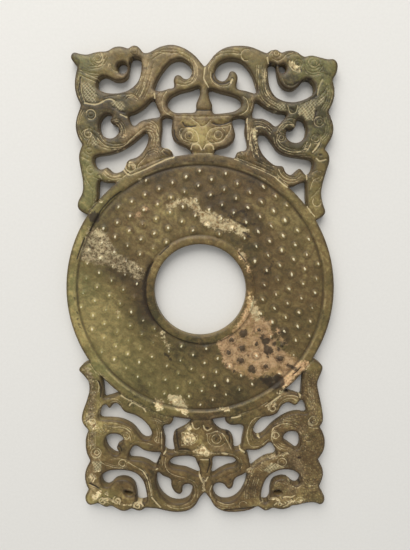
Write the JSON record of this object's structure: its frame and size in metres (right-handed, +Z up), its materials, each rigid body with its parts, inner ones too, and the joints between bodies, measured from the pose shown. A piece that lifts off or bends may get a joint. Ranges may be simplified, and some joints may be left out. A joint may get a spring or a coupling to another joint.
{
  "type": "jade bi disc",
  "caption": "Flat round jade disc with a round central hole, raised rims and grain bosses, and an openwork dragon crest above and below.",
  "frame": {"origin": "on the surface that the disc lies on, below the middle of the disc's hole, which is also the middle of the whole outline", "axes": "+Z up out of the carved face as it lies on its back, +Y towards the top crest, +X to the right as the carved face is seen"},
  "size_m": [0.112, 0.1973, 0.0046],
  "materials": {
    "jade": "worn polish with cream and brown burial alteration"
  },
  "bodies": {
    "root": {"jade_bi": "jade"}
  },
  "joints": []
}
